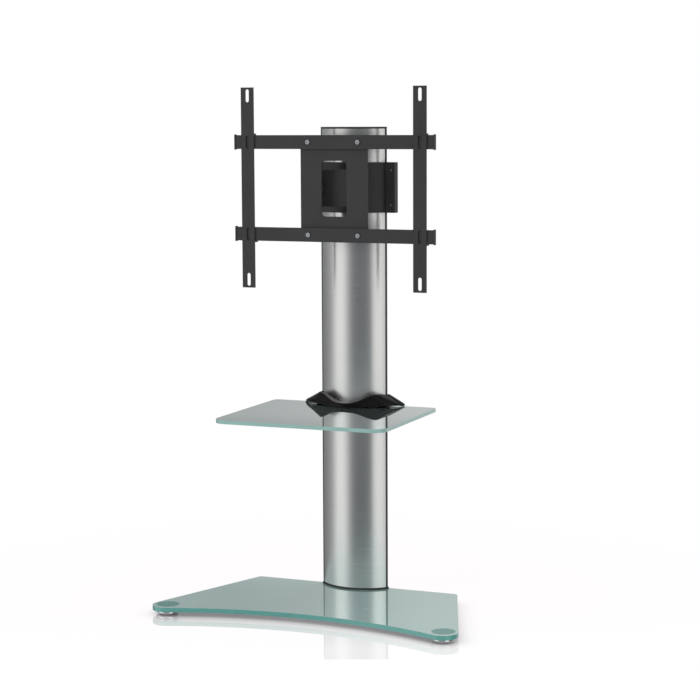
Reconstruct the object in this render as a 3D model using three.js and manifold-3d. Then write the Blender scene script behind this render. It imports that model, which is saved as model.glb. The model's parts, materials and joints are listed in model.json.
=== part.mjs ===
// A floor stand: a glass base on levelling feet, an aluminium column with a cable duct
// behind it, a glass shelf clamped to the column under a collar, and a mounting head that
// turns, tilts and slides. Lengths are in millimetres and angles in radians.
// X is to the right, Y to the back and Z up. The origin is on the floor, under the middle
// of the base's width and depth.

import * as THREE from 'three';
import { mergeVertices } from 'three/addons/utils/BufferGeometryUtils.js';
import Module from 'manifold-3d';

const wasm = await Module();
wasm.setup();

// Fits: a seat is still, a slide moves, and an overrun carries a cut past a face
const seatGap = 0.3;
const slideGap = 0.4;
const washerPlay = 0.1;
const overrun = 2;

// Base glass
const baseWidth = 700;
const baseDepth = 346;
const baseRearWidth = 480;
const baseFrontRise = 59;
const baseTipRadius = 32;
const baseRearRadius = 9;
const baseThickness = 10;

// Front feet: a plate bonded under the glass, a bowl that screws on its boss, and a pad
const footPlateRadius = 25.5;
const footPlateThickness = 2;
const footBossRadius = 9;
const footBossLength = 4.5;
const footRadius = 25;
const footSoleRadius = 19;
const footHeight = 6.6;
const footRimHeight = 2.1;
const footWall = 2.5;
const footFloor = 1.8;
const footSocketWall = 3;
const footSocketHeight = 6.2;
const footPadRadius = 17;
const footPadThickness = 1;
const footSetback = 3;

// Column profile: a shallow curved front, a web behind it, and screw ports
const columnWidth = 150;
const columnBulge = 32;
const columnRearInset = 12;
const columnTop = 1050;
const columnWall = 3;
const columnWebFront = 21;
const columnDuctWidth = 124;
const columnShoulder = 3;
const portRadius = 5.6;
const portBite = 0.6;
const portSpacing = 84;
const columnGasketThickness = 4;
const columnGasketLip = 1;
const capThickness = 4;
const capSpigotLength = 8;
const capSpigotWidth = 13;

// Rear cover of the cable duct
const coverWidth = 155;
const coverDepth = 7.2;
const coverWall = 2;
const coverRadius = 2;
const coverLipThickness = 2.2;
const coverLipDepth = 5;
const cableHoleWidth = 76;
const cableHoleHeight = 44;
const cableHoleRadius = 8;
const cableOutletRise = 40.5;
const cableShelfRise = 575.5;
const cableWindowPitch = 113;

// Plate, gasket, screws and rear feet under the column
const underPlateWidth = 184;
const underPlateDepth = 50;
const underPlateRearOverhang = 10.5;
const underPlateRadius = 10;
const underPlateThickness = 4;
const underGasketThickness = 1;
const baseScrewRadius = 3;
const baseScrewReach = 26;
const baseScrewHeadRadius = 5.5;
const baseScrewHeadHeight = 3.5;
const rearFootSpacing = 124;
const rearFootRadius = 12;
const rearFootThickness = 4.6;
const rearFootStudRadius = 3.8;
const rearFootStudTop = 17;
const rearFootInset = 13.5;

// Shelf glass
const shelfWidth = 390;
const shelfDepth = 329;
const shelfRearOverhang = 4;
const shelfThickness = 8;
const shelfTop = 436;
const shelfFrontRadius = 30;
const shelfRearRadius = 11;
const notchSideGap = 3.5;
const notchFrontGap = 4;
const notchRadius = 30;

// Clamp rings that go round the column under the shelf and behind the mounting head
const ringWall = 5;
const strapWall = 3;
const ringFlangeWidth = 20;
const ringFrontFlange = 11;
const ringRearFlange = 8;
const ringFlangeBite = 1;
const ringSplitInset = 2;
const ringSplitGap = 0.6;
const clampScrewRadius = 3;
const clampHeadRadius = 5;
const clampHeadHeight = 4;
const clampScrewReach = 18;

// Shelf bracket, pads and screws
const bracketThickness = 4;
const bracketWidth = 208;
const bracketFront = 40;
const bracketRearOverhang = 2;
const bracketRadius = 8;
const shelfPadWidth = 12;
const shelfPadLength = 60;
const shelfPadThickness = 1;
const shelfPadInset = 4;
const bracketHeight = 40;

// Collar over the shelf's notch
const collarHalfWidth = 119;
const collarReach = 68;
const collarHeight = 29;
const collarColumnGap = 0.8;
const collarRearWall = 3.9;
const collarSeamInset = 3;
const collarSeamGap = 0.4;
const collarRearDip = 10;
const collarDipWidth = 110;
const collarTunnelHalfWidth = 18;
const collarTunnelHeight = 7;
const collarTunnelInset = 21;
const collarRecessHalfWidth = 39;
const collarRecessInset = 38;
const collarRecessInnerReach = 20;
const collarScrewRadius = 2;
const collarScrewReach = 8;
const collarScrewHeadRadius = 4;
const collarScrewHeadHeight = 3;
const collarScrewFrontX = 34;
const collarScrewFrontReach = 21;
const collarScrewRearX = 72;
const collarScrewRearReach = 14;

// Mounting head: carriage, swivel and tilt
const mountHeight = 918;
const carriageHeight = 110;
const carriageClampRise = 38;
const swivelReach = 28;
const swivelPinRadius = 6;
const knuckleRadius = 11.5;
const knuckleHeight = 40;
const washerThickness = 1.3;
const lugThickness = 8;
const lugRadius = 12;
const lugRootWidth = 60;
const pinHeadRadius = 10;
const pinHeadHeight = 5;
const pinNutRadius = 10;
const pinNutHeight = 7;
const pinEnd = 3;
const yokeWidth = 92;
const yokeHeight = 80;
const yokeThickness = 5;
const yokeGap = 2;
const yokeRadius = 10;
const yokeWebWidth = 18;
const tiltReach = 16;
const tiltEarRadius = 11;
const tiltEarThickness = 5;
const tiltEarRoot = 44;
const innerEarRadius = 10;
const innerEarThickness = 4.5;
const innerEarRoot = 40;
const tiltBoltRadius = 4;
const tiltHeadRadius = 7;
const tiltHeadHeight = 5;
const tiltBoltEnd = 2;
const tiltWasherRadius = 9;
const tiltWasherThickness = 0.8;
const tiltPlateWidth = 156;
const tiltPlateThickness = 3;
const tiltPlateRadius = 8;
const tiltPlateGap = 1;
const tiltWindowWidth = 58;
const tiltWindowHeight = 120;

// Rails and arms of the mounting head
const railOverhang = 15;
const railHeight = 30;
const railThickness = 6;
const railSpacing = 200;
const railCapThickness = 3;
const railCapRim = 1.5;
const railCapTongue = 7;
const railCapTongueHeight = 12;
const railCapTongueThickness = 2.4;
const railBoltSpacing = 116;
const railBoltRadius = 3;
const railHeadRadius = 5;
const railHeadHeight = 3;
const railBoltEnd = 1.5;
const armSpacing = 400;
const armWidth = 30;
const armHeight = 436;
const armThickness = 3;
const armHookDrop = 12;
const vesaPitch = 200;
const vesaSlotWidth = 8.5;
const vesaSlotHeight = 28;
const vesaInnerShare = 1 / 2;
const lockRadius = 2.5;
const lockMargin = 3;
const lockReach = 9;
const lockKnobRadius = 6;
const lockKnobHeight = 6;

// Facets of round shapes
const fine = 32;
const medium = 28;
const coarse = 16;
const hex = 6;
const filletSteps = 5;
const columnSteps = 14;
const sweepSteps = 14;
const tipSteps = 12;

// The collar's three outer lines from its front centre to its seam. Each point is a share
// of the collar's half width, of its reach in front of the seam, and of its height. The
// rear part's ridge is a share of the half width and of the height.
const ridgeShares = [[0, 0.94, 0.36], [0.13, 0.92, 0.385], [0.26, 0.84, 0.5], [0.4, 0.7, 0.775],
  [0.546, 0.53, 1], [0.62, 0.26, 0.92], [0.68, 0, 0.82]];
const shoulderShares = [[0, 0.985, 0.31], [0.16, 0.955, 0.33], [0.34, 0.82, 0.4], [0.57, 0.6, 0.43],
  [0.76, 0.42, 0.37], [0.895, 0.22, 0.26], [0.975, 0, 0.18]];
const footShares = [[0, 1, 0], [0.17, 0.965, 0], [0.36, 0.84, 0], [0.595, 0.625, 0],
  [0.8, 0.44, 0], [0.935, 0.23, 0], [1, 0, 0]];
const rearRidgeShares = [0.68, 0.84];
const rimShares = [0.33, 0.34, 0.42, 0.62, 0.8, 0.78, 0.74];
const innerShares = [0, 0.2, 0.4, 0.6, 0.8, 0.95];

// Levels and places that follow from the sizes
const half = 1 / 2;
const quarterTurn = Math.PI * half;
const glassBottom = footPadThickness + footHeight + slideGap + footPlateThickness;
const glassTop = glassBottom + baseThickness;
const columnBottom = glassTop + columnGasketThickness;
const columnEnd = columnTop - capThickness;
const backEdge = baseDepth * half;
const frontEdge = -backEdge;
const tipX = baseWidth * half - baseTipRadius;
const tipY = frontEdge + baseTipRadius;
const columnHalf = columnWidth * half;
const columnRadius = (columnHalf ** 2 + columnBulge ** 2) / (columnBulge / half);
const landY = backEdge - columnRearInset;
const columnFront = landY - columnBulge;
const columnCentre = columnFront + columnRadius;
const webFront = columnFront + columnWebFront;
const webRear = webFront + columnWall;
const coverHalf = coverWidth * half;
const coverFront = landY + seatGap;
const coverRear = coverFront + coverDepth;
const splitY = landY - ringSplitInset;
const cableInletRise = cableShelfRise + cableWindowPitch;
const railLength = armSpacing + armWidth + railOverhang / half;
const tiltPlateHeight = railSpacing + railHeight;
const shelfBottom = shelfTop - shelfThickness;
const shelfRear = landY + shelfRearOverhang;
const shelfFront = shelfRear - shelfDepth;
const collarRear = coverRear + collarRearWall;

// Turns a geometry into a body whose shared corners are merged and whose faces point out
function body(geometry) {
  const bare = geometry.clone();
  bare.deleteAttribute('normal');
  bare.deleteAttribute('uv');
  const merged = mergeVertices(bare);
  const places = merged.getAttribute('position').array;
  const corners = merged.getIndex().array;
  const kept = [];
  let volume = 0;
  for (let i = 0; i < corners.length; i += 3) {
    const [a, b, c] = [corners[i], corners[i + 1], corners[i + 2]];
    if (a !== b && b !== c && c !== a) {
      kept.push(a, b, c);
      const [p, q, r] = [a, b, c].map((corner) => new THREE.Vector3().fromArray(places, 3 * corner));
      volume += p.dot(q.cross(r));
    }
  }
  if (volume < 0) {
    kept.reverse();
  }
  return new wasm.Manifold(new wasm.Mesh({
    numProp: 3,
    vertProperties: Float32Array.from(places),
    triVerts: Uint32Array.from(kept),
  }));
}

function joined(first, ...others) {
  return others.reduce((whole, other) => whole.add(other), first);
}

function without(first, ...others) {
  return others.reduce((whole, other) => whole.subtract(other), first);
}

// Turns a body back into a geometry
function surface(solid) {
  const mesh = solid.getMesh();
  const geometry = new THREE.BufferGeometry();
  geometry.setAttribute('position', new THREE.BufferAttribute(mesh.vertProperties, 3));
  geometry.setIndex(new THREE.BufferAttribute(mesh.triVerts, 1));
  geometry.computeVertexNormals();
  return geometry;
}

// Outlines are lists of [x, y] points, in order against the clock
function arc(x, y, radius, from, to, steps) {
  const points = [];
  for (let step = 0; step <= steps; step += 1) {
    const angle = from + (to - from) * (step / steps);
    points.push([x + radius * Math.cos(angle), y + radius * Math.sin(angle)]);
  }
  return points;
}

function circle(x, y, radius, sides) {
  return arc(x, y, radius, 0, Math.PI / half, sides).slice(0, sides);
}

function polygon(x, y, acrossFlats, sides) {
  return circle(x, y, acrossFlats / Math.cos(Math.PI / sides), sides);
}

// The points that round one corner of an outline
function fillet(before, corner, after, radius) {
  const point = new THREE.Vector2(...corner);
  const back = new THREE.Vector2(...before).sub(point).normalize();
  const ahead = new THREE.Vector2(...after).sub(point).normalize();
  const halfAngle = back.angleTo(ahead) * half;
  const start = point.clone().addScaledVector(back, radius / Math.tan(halfAngle));
  const middle = back.clone().add(ahead).normalize();
  const centre = point.clone().addScaledVector(middle, radius / Math.sin(halfAngle));
  const turn = Math.PI - halfAngle / half;
  const sweep = back.cross(ahead) < 0 ? turn : -turn;
  const points = [];
  for (let step = 0; step <= filletSteps; step += 1) {
    const place = start.clone().rotateAround(centre, sweep * (step / filletSteps));
    points.push([place.x, place.y]);
  }
  return points;
}

// An outline with its corners rounded, each corner given as [x, y, radius]
function rounded(corners) {
  return corners.flatMap(([x, y, radius], index) => {
    const before = corners.at(index - 1);
    const after = corners[(index + 1) % corners.length];
    if (radius === 0) {
      return [[x, y]];
    }
    return fillet([before[0], before[1]], [x, y], [after[0], after[1]], radius);
  });
}

function rectangle(x, y, width, height, radius = 0) {
  const right = x + width * half;
  const top = y + height * half;
  const left = right - width;
  const bottom = top - height;
  return rounded([[left, bottom, radius], [right, bottom, radius], [right, top, radius],
    [left, top, radius]]);
}

// The right half of an outline and its mirror image, joined
function mirrored(rightHalf) {
  const leftHalf = rightHalf.filter(([x]) => x !== 0).map(([x, y]) => [-x, y]).reverse();
  return [...rightHalf, ...leftHalf];
}

function extruded(outline, length) {
  const shape = new THREE.Shape(outline.map(([x, y]) => new THREE.Vector2(x, y)));
  return new THREE.ExtrudeGeometry(shape, { depth: length, bevelEnabled: false });
}

// A body whose outline lies in the XY plane and that runs up from bottom to top
function slab(outline, bottom, top) {
  return body(extruded(outline, top - bottom).translate(0, 0, bottom));
}

// A body whose outline lies in the XZ plane and that runs back from front to rear
function through(outline, front, rear) {
  return body(extruded(outline, rear - front).rotateX(quarterTurn).translate(0, rear, 0));
}

// A body whose outline lies in the YZ plane and that runs from left to right
function across(outline, left, right) {
  const geometry = extruded(outline, right - left).rotateX(quarterTurn).rotateZ(quarterTurn);
  return body(geometry.translate(left, 0, 0));
}

// A body turned round the Z axis from [radius, height] points
function turned(profile, sides) {
  const points = profile.map(([radius, height]) => new THREE.Vector2(radius, height));
  return body(new THREE.LatheGeometry(points, sides).rotateX(quarterTurn));
}

function material(color, roughness, metalness) {
  return new THREE.MeshStandardMaterial({ color, roughness, metalness });
}

const silver = () => material(0xb4b6b8, 0.34, 0.9);
const chromed = () => material(0xd6d8da, 0.08, 1);
const zinc = () => material(0x9da1a5, 0.38, 0.9);
const blackSteel = () => material(0x1b1c1e, 0.5, 0.4);
const blackPlastic = () => material(0x17181a, 0.55, 0);
const glossBlack = () => material(0x0d0d0f, 0.12, 0);
const rubber = () => material(0x141414, 0.85, 0);
const glass = () => material(0x9fbdb8, 0.12, 0);

function piece(name, solid, look) {
  const mesh = new THREE.Mesh(surface(solid), look);
  mesh.name = name;
  return mesh;
}

// Alike pieces, each its own mesh with a number after its name
function pieces(name, solids, look) {
  return solids.map((solid, index) => piece(`${name}_${index + 1}`, solid, look()));
}

function groupAt(x, y, z, ...children) {
  const group = new THREE.Group();
  group.position.set(x, y, z);
  group.add(...children);
  return group;
}

// The column's section
function arcY(x, offset) {
  return columnCentre - Math.sqrt((columnRadius + offset) ** 2 - x ** 2);
}

function columnArc(offset, halfWidth) {
  const reach = Math.asin(halfWidth / (columnRadius + offset));
  return arc(0, columnCentre, columnRadius + offset, -quarterTurn, reach - quarterTurn, columnSteps)
    .map(([x, y], index) => (index === 0 ? [0, y] : [x, y]));
}

// The outline of column and cover together, grown by an offset
function wrap(offset, rearOffset = offset) {
  return mirrored([
    ...columnArc(offset, columnHalf - columnShoulder),
    [coverHalf + offset, coverFront - offset],
    [coverHalf + offset, coverRear + rearOffset],
  ]);
}

const portX = portSpacing * half;
const portY = arcY(portX, -columnWall) + portRadius - portBite;
const portPlaces = [[-portX, portY], [portX, portY]];

function column() {
  const shell = slab(mirrored(columnArc(0, columnHalf)), columnBottom, columnEnd);
  const innerRadius = columnRadius - columnWall;
  const cellHalf = Math.sqrt(innerRadius ** 2 - (columnCentre - webFront) ** 2);
  const below = columnBottom - overrun;
  const above = columnEnd + overrun;
  const cell = slab(mirrored(columnArc(-columnWall, cellHalf)), below, above);
  const ductDepth = landY + overrun - webRear;
  const duct = slab(rectangle(0, webRear + ductDepth * half, columnDuctWidth, ductDepth), below, above);
  const ports = portPlaces.map(([x, y]) => (
    slab(circle(x, y, portRadius, coarse), columnBottom, columnEnd)
  ));
  const bores = portPlaces.map(([x, y]) => (
    slab(circle(x, y, baseScrewRadius + seatGap, coarse), below, above)
  ));
  return without(joined(without(shell, cell, duct), ...ports), ...bores);
}

function cableCover() {
  const lipX = columnDuctWidth * half - seatGap;
  const wallFront = coverRear - coverWall;
  const section = [
    [coverHalf, coverFront],
    ...fillet([coverHalf, coverFront], [coverHalf, coverRear], [0, coverRear], coverRadius),
  ];
  const inner = [
    [lipX - coverLipThickness, wallFront],
    [lipX - coverLipThickness, coverFront - coverLipDepth],
    [lipX, coverFront - coverLipDepth],
    [lipX, coverFront],
  ];
  const leftEdge = section.map(([x, y]) => [-x, y]).reverse();
  const leftInner = inner.map(([x, y]) => [-x, y]).reverse();
  const strip = slab([...section, ...leftEdge, ...leftInner, ...inner], columnBottom, columnEnd);
  const windows = [cableOutletRise, cableShelfRise, cableInletRise].map((rise) => through(
    rectangle(0, columnBottom + rise, cableHoleWidth, cableHoleHeight, cableHoleRadius),
    coverFront - overrun,
    coverRear + overrun,
  ));
  return without(strip, ...windows);
}

function columnCap() {
  const lid = slab(wrap(0), columnEnd, columnTop);
  const front = arcY(capSpigotWidth * half, -columnWall) + slideGap;
  const rear = webFront - slideGap;
  const spigot = slab(
    rectangle(0, (front + rear) * half, capSpigotWidth, rear - front),
    columnEnd - capSpigotLength,
    columnEnd,
  );
  return joined(lid, spigot);
}

// The base and what lies under it
function baseOutline() {
  const waistY = frontEdge + baseFrontRise;
  const dip = tipY - waistY;
  const sweepRadius = (tipX ** 2 + dip ** 2 - baseTipRadius ** 2) / ((baseTipRadius - dip) / half);
  const sweepY = waistY - sweepRadius;
  const tipAngle = Math.atan2(tipY - sweepY, tipX);
  const rearX = baseRearWidth * half;
  const away = Math.hypot(rearX - tipX, backEdge - tipY);
  const sideAngle = Math.atan2(backEdge - tipY, rearX - tipX) - Math.acos(baseTipRadius / away);
  const sweep = arc(0, sweepY, sweepRadius, quarterTurn, tipAngle, sweepSteps);
  const tip = arc(tipX, tipY, baseTipRadius, tipAngle - Math.PI, sideAngle, tipSteps);
  const corner = fillet(tip.at(-1), [rearX, backEdge], [0, backEdge], baseRearRadius);
  return mirrored([[0, sweep[0][1]], ...sweep.slice(1, -1), ...tip, ...corner]);
}

const underRear = landY + underPlateRearOverhang;
const underMiddle = underRear - underPlateDepth * half;
const underBottom = glassBottom - underGasketThickness - underPlateThickness;
const rearFootX = rearFootSpacing * half;
const rearFootY = underRear - rearFootInset;

function studHoles(bottom, top) {
  return [-rearFootX, rearFootX].map((x) => (
    slab(circle(x, rearFootY, rearFootStudRadius + slideGap, coarse), bottom - overrun, top + overrun)
  ));
}

function screwHoles(bottom, top) {
  return portPlaces.map(([x, y]) => (
    slab(circle(x, y, baseScrewRadius + seatGap, coarse), bottom - overrun, top + overrun)
  ));
}

function baseGlass() {
  const sheet = slab(baseOutline(), glassBottom, glassTop);
  return without(sheet, ...screwHoles(glassBottom, glassTop), ...studHoles(glassBottom, glassTop));
}

function underSheet(bottom, top) {
  const outline = rectangle(0, underMiddle, underPlateWidth, underPlateDepth, underPlateRadius);
  return without(slab(outline, bottom, top), ...screwHoles(bottom, top), ...studHoles(bottom, top));
}

function columnGasket() {
  const sheet = slab(wrap(columnGasketLip), glassTop, columnBottom);
  return without(sheet, ...screwHoles(glassTop, columnBottom));
}

function baseScrews() {
  return portPlaces.map(([x, y]) => joined(
    slab(circle(x, y, baseScrewRadius, coarse), underBottom, columnBottom + baseScrewReach),
    slab(circle(x, y, baseScrewHeadRadius, coarse), underBottom - baseScrewHeadHeight, underBottom),
  ));
}

function footPlate() {
  const underside = footPadThickness + footHeight + slideGap;
  return turned([
    [0, underside - footBossLength],
    [footBossRadius, underside - footBossLength],
    [footBossRadius, underside],
    [footPlateRadius, underside],
    [footPlateRadius, glassBottom],
    [0, glassBottom],
  ], fine);
}

function footBowl() {
  const sole = footPadThickness;
  const rim = sole + footHeight;
  const floor = sole + footFloor;
  const socketInner = footBossRadius + slideGap;
  const socketOuter = socketInner + footSocketWall;
  const spread = footRadius - footSoleRadius;
  const flank = arc(footSoleRadius, rim - footRimHeight, spread, -quarterTurn, 0, filletSteps)
    .map(([radius, height]) => [radius, sole + (height - (rim - footRimHeight) + spread)
      * ((footHeight - footRimHeight) / spread)]);
  return turned([
    [0, sole],
    ...flank,
    [footRadius, rim],
    [footRadius - footWall, rim],
    [footRadius - footWall, rim - footRimHeight],
    [footSoleRadius - footWall, floor],
    [socketOuter, floor],
    [socketOuter, sole + footSocketHeight - slideGap],
    [socketInner, sole + footSocketHeight - slideGap],
    [socketInner, floor],
    [0, floor],
  ], fine);
}

function footPad() {
  return slab(circle(0, 0, footPadRadius, medium), 0, footPadThickness);
}

function frontFoot(side, sign) {
  return groupAt(
    sign * tipX,
    tipY + footSetback,
    0,
    piece(`front_foot_plate_${side}`, footPlate(), zinc()),
    piece(`front_foot_${side}`, footBowl(), chromed()),
    piece(`front_foot_pad_${side}`, footPad(), rubber()),
  );
}

function rearFoot(side, sign) {
  const disc = slab(circle(0, 0, rearFootRadius, medium), 0, rearFootThickness);
  const stud = slab(circle(0, 0, rearFootStudRadius, coarse), rearFootThickness, rearFootStudTop);
  return groupAt(
    sign * rearFootX,
    rearFootY,
    0,
    piece(`rear_foot_${side}`, joined(disc, stud), blackPlastic()),
  );
}

// A ring round the column, split across its flanges into a front and a rear part
const flangeX = coverHalf + slideGap + ringWall + ringFlangeWidth * half;

function clampRing(bottom, top, rises) {
  const outer = slab(wrap(slideGap + ringWall, slideGap + strapWall), bottom, top);
  const inner = slab(wrap(slideGap), bottom - overrun, top + overrun);
  const width = ringFlangeWidth + ringFlangeBite;
  const flangeDepth = ringFrontFlange + ringRearFlange;
  const flangeY = splitY - ringFrontFlange + flangeDepth * half;
  const flanges = [-1, 1].map((sign) => (
    slab(rectangle(sign * (flangeX - ringFlangeBite * half), flangeY, width, flangeDepth), bottom, top)
  ));
  const bores = rises.flatMap((rise) => [-flangeX, flangeX].map((x) => through(
    circle(x, rise, clampScrewRadius + seatGap, coarse),
    flangeY - flangeDepth,
    flangeY + flangeDepth,
  )));
  const ring = without(joined(outer, ...flanges), inner, ...bores);
  const reach = coverWidth / half;
  const shift = (reach - ringSplitGap) * half;
  const [behind, before] = [splitY + shift, splitY - shift].map((y) => (
    slab(rectangle(0, y, reach, reach), bottom - overrun, top + overrun)
  ));
  return { front: without(ring, behind), rear: without(ring, before) };
}

function clampScrews(rises) {
  const seat = splitY + ringRearFlange;
  return rises.flatMap((rise) => [-flangeX, flangeX].map((x) => joined(
    through(circle(x, rise, clampScrewRadius, coarse), seat - clampScrewReach, seat),
    through(circle(x, rise, clampHeadRadius, coarse), seat, seat + clampHeadHeight),
  )));
}

// The shelf. Its group stands at the underside of the glass.
const seamY = landY - collarSeamInset;
const collarScrewPlaces = [
  [-collarScrewFrontX, columnFront - collarScrewFrontReach],
  [collarScrewFrontX, columnFront - collarScrewFrontReach],
  [-collarScrewRearX, columnFront + collarScrewRearReach],
  [collarScrewRearX, columnFront + collarScrewRearReach],
];

function collarScrewHoles(bottom, top) {
  return collarScrewPlaces.map(([x, y]) => (
    slab(circle(x, y, collarScrewRadius + seatGap, coarse), bottom - overrun, top)
  ));
}

function shelfGlass() {
  const right = shelfWidth * half;
  const notchX = coverHalf + notchSideGap;
  const notchY = columnFront - notchFrontGap;
  const outline = rounded([
    [-right, shelfFront, shelfFrontRadius],
    [right, shelfFront, shelfFrontRadius],
    [right, shelfRear, shelfRearRadius],
    [notchX, shelfRear, 0],
    [notchX, notchY, notchRadius],
    [-notchX, notchY, notchRadius],
    [-notchX, shelfRear, 0],
    [-right, shelfRear, shelfRearRadius],
  ]);
  return without(slab(outline, 0, shelfThickness), ...collarScrewHoles(0, shelfThickness + overrun));
}

const bracketTop = -shelfPadThickness;
const bracketBottom = bracketTop - bracketThickness;
const bracketFrontY = columnFront - bracketFront;
const bracketRearY = landY + bracketRearOverhang;
const padX = bracketWidth * half - shelfPadInset - shelfPadWidth * half;

function shelfBracket() {
  const ring = clampRing(bracketTop - bracketHeight, bracketTop, [bracketTop - bracketHeight * half]);
  const depth = bracketRearY - bracketFrontY;
  const middle = (bracketRearY + bracketFrontY) * half;
  const plate = slab(rectangle(0, middle, bracketWidth, depth, bracketRadius), bracketBottom, bracketTop);
  const bore = slab(wrap(slideGap), bracketBottom - overrun, bracketTop + overrun);
  const strapRoom = slab(
    rectangle(0, splitY + depth * half, (flangeX + ringFlangeWidth) / half, depth + ringSplitGap),
    bracketBottom - overrun,
    bracketTop + overrun,
  );
  const front = joined(ring.front, without(plate, bore, strapRoom));
  const holes = collarScrewHoles(bracketBottom, bracketTop + overrun);
  return { front: without(front, ...holes), rear: ring.rear };
}

function shelfPads() {
  const y = bracketFrontY + bracketRadius + shelfPadLength * half;
  return [-padX, padX].map((x) => slab(rectangle(x, y, shelfPadWidth, shelfPadLength), bracketTop, 0));
}

function collarScrews() {
  const end = shelfThickness + collarScrewReach;
  const seat = bracketBottom;
  return collarScrewPlaces.map(([x, y]) => joined(
    slab(circle(x, y, collarScrewRadius, coarse), seat, end),
    slab(circle(x, y, collarScrewHeadRadius, coarse), seat - collarScrewHeadHeight, seat),
  ));
}

// One of the collar's lines in space, from its front centre to its seam
function collarLine(shares) {
  return shares.map(([acrossShare, reachShare, heightShare]) => new THREE.Vector3(
    acrossShare * collarHalfWidth,
    seamY - reachShare * collarReach,
    shelfThickness + heightShare * collarHeight,
  ));
}

// The line where the collar meets the column, at the foot or along the rim
function columnLine(heights) {
  const last = columnHalf - columnShoulder;
  const points = innerShares.map((share) => {
    const x = share * last;
    return new THREE.Vector3(x, arcY(x, collarColumnGap), shelfThickness);
  });
  const shoulder = new THREE.Vector3(last, arcY(last, collarColumnGap), shelfThickness);
  const corner = shoulder.clone();
  corner.x = coverHalf + collarColumnGap;
  corner.y = coverFront - collarColumnGap;
  points.push(shoulder.lerp(corner, (seamY - shoulder.y) / (corner.y - shoulder.y)));
  points.forEach((point, index) => {
    point.z += heights[index] * collarHeight;
  });
  return points;
}

// A closed body through a row of rings, each ring a list of points
function loft(rings) {
  const size = rings[0].length;
  const places = rings.flat().flatMap((point) => point.toArray());
  const corners = [];
  for (let ring = 0; ring < rings.length - 1; ring += 1) {
    for (let side = 0; side < size; side += 1) {
      const next = (side + 1) % size;
      const [a, b] = [ring * size + side, ring * size + next];
      corners.push(a, b, b + size, a, b + size, a + size);
    }
  }
  const last = (rings.length - 1) * size;
  for (let side = 1; side < size - 1; side += 1) {
    corners.push(0, side + 1, side, last, last + side, last + side + 1);
  }
  const geometry = new THREE.BufferGeometry();
  geometry.setAttribute('position', new THREE.Float32BufferAttribute(places, 3));
  geometry.setIndex(corners);
  return body(geometry);
}

const collarSteps = 14;

function smoothLine(points) {
  return new THREE.CatmullRomCurve3(points).getPoints(collarSteps);
}

// An arch through the collar's foot, in the XZ plane
function arch(x, halfWidth, height) {
  const low = [[x + halfWidth, shelfThickness - overrun]];
  const crown = arc(x, shelfThickness, halfWidth, 0, Math.PI, coarse)
    .map(([px, pz]) => [px, shelfThickness + (pz - shelfThickness) * (height / halfWidth)]);
  return [...low, ...crown, [x - halfWidth, shelfThickness - overrun]];
}

function collarArches() {
  return [-1, 1].flatMap((sign) => {
    const tunnelX = sign * (collarHalfWidth - collarTunnelInset);
    const recessX = sign * (collarHalfWidth - collarRecessInset);
    const front = seamY - collarReach - overrun;
    const tunnel = arch(tunnelX, collarTunnelHalfWidth, collarTunnelHeight);
    const recess = arch(recessX, collarRecessHalfWidth, collarTunnelHeight);
    return [
      through(tunnel, front, collarRear + overrun),
      through(recess, front, seamY - collarRecessInnerReach),
    ];
  });
}

function collarFront() {
  const lines = [
    columnLine(innerShares.concat(1).map(() => 0)),
    columnLine(rimShares),
    collarLine(ridgeShares),
    collarLine(shoulderShares),
    collarLine(footShares),
  ].map(smoothLine);
  const rightRings = lines[0].map((_, step) => lines.map((line) => line[step]));
  const leftRings = rightRings.slice(1).map((ring) => (
    ring.map((point) => new THREE.Vector3(-point.x, point.y, point.z))
  )).reverse();
  const shell = loft([...leftRings, ...rightRings]);
  const bore = slab(wrap(collarColumnGap), 0, shelfThickness + collarHeight + overrun);
  return without(shell, bore, ...collarArches(), ...collarScrewHoles(
    shelfThickness,
    shelfThickness + collarScrewReach + seatGap,
  ));
}

function collarBack() {
  const [ridgeX, ridgeZ] = rearRidgeShares;
  const [shoulderX, , shoulderZ] = shoulderShares.at(-1);
  const height = (share) => shelfThickness + share * collarHeight;
  const section = mirrored([
    [collarHalfWidth, shelfThickness],
    [shoulderX * collarHalfWidth, height(shoulderZ)],
    [ridgeX * collarHalfWidth, height(ridgeZ)],
  ].map(([x, z]) => [x, z]));
  const block = through(section, seamY + collarSeamGap, collarRear);
  const bore = slab(wrap(collarColumnGap), 0, shelfThickness + collarHeight + overrun);
  const dipTop = shelfThickness + collarHeight;
  const dip = through(
    rectangle(0, dipTop, collarDipWidth, collarRearDip / half),
    seamY,
    collarRear + overrun,
  );
  return without(block, bore, dip, ...collarArches());
}

function shelf() {
  const bracket = shelfBracket();
  const rises = [bracketTop - bracketHeight * half];
  return groupAt(
    0,
    0,
    shelfBottom,
    piece('shelf_glass', shelfGlass(), glass()),
    piece('shelf_bracket', bracket.front, blackSteel()),
    piece('shelf_clamp', bracket.rear, blackSteel()),
    ...pieces('shelf_clamp_screw', clampScrews(rises), zinc),
    ...pieces('shelf_pad', shelfPads(), rubber),
    ...pieces('collar_screw', collarScrews(), zinc),
    piece('collar_front', collarFront(), glossBlack()),
    piece('collar_rear', collarBack(), glossBlack()),
  );
}

// The mounting head. Its group stands at the middle of its height.
const swivelY = columnFront - swivelReach;
const knuckleTop = knuckleHeight * half;
const washerBottom = knuckleTop + washerPlay;
const lugBottom = washerBottom + washerThickness;
const lugTop = lugBottom + lugThickness;
const carriageRises = [-carriageClampRise, carriageClampRise];

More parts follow.
